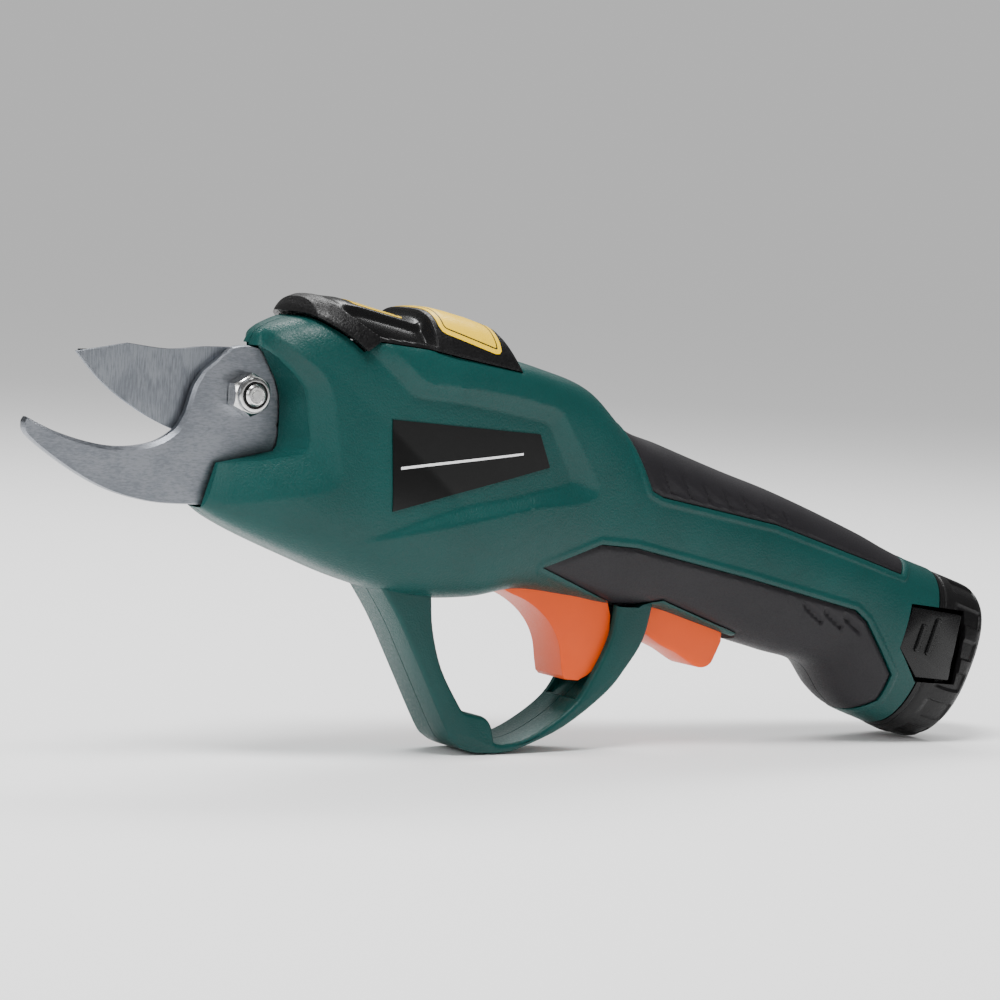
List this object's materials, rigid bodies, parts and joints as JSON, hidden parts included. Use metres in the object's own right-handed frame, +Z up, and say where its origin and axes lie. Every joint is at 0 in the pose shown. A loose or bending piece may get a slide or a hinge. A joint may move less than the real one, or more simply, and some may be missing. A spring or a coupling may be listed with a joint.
{
  "type": "battery electric pruner",
  "caption": "Hand-held electric pruner with a fixed hook blade, a driven cutting blade, trigger in a guard, lock lever and a slide-out battery.",
  "frame": {"origin": "middle of the bounding box, on the surface that the tool stands on", "axes": "+X along the tool towards the battery, blades at -X; +Z up; +Y to the operator's right; y = 0 is the housing's parting plane"},
  "size_m": [0.2996, 0.046, 0.1229],
  "materials": {
    "green": "matte textured moulding",
    "black": "fine grained black moulding",
    "grip": "soft-touch charcoal",
    "orange": "satin",
    "label": "plain black sticker",
    "blade": "ground steel",
    "zinc": "zinc plated",
    "cast": "die cast",
    "bronze": "sintered bronze",
    "contact": "plated contact",
    "board": "glass-epoxy board",
    "cell": "shrink-wrapped cell",
    "wire": "wire insulation"
  },
  "bodies": {
    "housing": {"left_housing": "green", "right_housing": "green", "top_cover": "black", "upper_grip_left": "grip", "upper_grip_right": "grip", "lower_grip_left": "grip", "lower_grip_right": "grip", "side_label_left": "label", "side_label_right": "label", "hook_blade": "blade", "pivot_bolt": "zinc", "pivot_nut": "zinc", "pivot_plate": "blade", "gear_frame": "cast", "hook_screw_1": "zinc", "hook_screw_2": "zinc", "plate_screw_1": "zinc", "plate_screw_2": "zinc", "shaft_bearing": "blade", "gearbox_case": "cast", "motor_can": "zinc", "motor_end_cap": "black", "controller_board": "board", "trigger_switch": "black", "lock_switch": "black", "terminal_block": "black", "contact_blade_1": "contact", "contact_blade_2": "contact", "motor_lead_red": "wire", "motor_lead_black": "wire", "trigger_pin": "zinc", "lever_pin": "zinc", "trigger_spring": "zinc", "lever_spring": "zinc", "housing_screw_1": "zinc", "housing_screw_2": "zinc", "housing_screw_3": "zinc", "housing_screw_4": "zinc", "housing_screw_5": "zinc", "housing_screw_6": "zinc", "housing_screw_7": "zinc", "housing_screw_8": "zinc"},
    "blade": {"cutting_blade": "blade", "blade_gear": "blade", "pivot_bush": "bronze"},
    "drive_shaft": {"output_pinion": "blade"},
    "trigger": {"trigger": "orange"},
    "lock_lever": {"lock_lever": "orange"},
    "battery": {"battery_cap": "black", "battery_case": "black", "battery_base": "black", "battery_board": "board", "cell_1": "cell", "cell_2": "cell", "cell_3": "cell"},
    "latch_left": {"latch_left": "black"},
    "latch_right": {"latch_right": "black"}
  },
  "joints": [
    {"name": "blade_swing", "type": "hinge", "parent": "housing", "child": "blade", "pos_m": [-0.0879, 0, 0.0961], "axis": [0, -1, 0], "range_deg": [0, 34]},
    {"name": "pinion_spin", "type": "hinge", "parent": "housing", "child": "drive_shaft", "pos_m": [-0.0879, 0, 0.0961], "axis": [0.9744, 0, -0.225], "range_deg": [-160, 160]},
    {"name": "trigger_pull", "type": "hinge", "parent": "housing", "child": "trigger", "pos_m": [-0.005, 0, 0.049], "axis": [0, -1, 0], "range_deg": [0, 9], "stiffness_Nm_per_rad": 0.6, "springref_deg": -8.59, "deforming": ["trigger_spring"]},
    {"name": "lever_press", "type": "hinge", "parent": "housing", "child": "lock_lever", "pos_m": [0.041, 0, 0.043], "axis": [0, -1, 0], "range_deg": [0, 8], "stiffness_Nm_per_rad": 0.4, "springref_deg": -8.59, "deforming": ["lever_spring"]},
    {"name": "battery_slide", "type": "slide", "parent": "housing", "child": "battery", "axis": [0.9397, 0, -0.342], "range_m": [0, 0.08]},
    {"name": "latch_left_press", "type": "slide", "parent": "battery", "child": "latch_left", "axis": [0, 1, 0], "range_m": [0, 0.002], "stiffness_N_per_m": 1500, "springref_m": -0.001},
    {"name": "latch_right_press", "type": "slide", "parent": "battery", "child": "latch_right", "axis": [0, -1, 0], "range_m": [0, 0.002], "stiffness_N_per_m": 1500, "springref_m": -0.001}
  ],
  "couplings": [
    {"joint": "pinion_spin", "follows": "blade_swing", "ratio": 4.5}
  ]
}
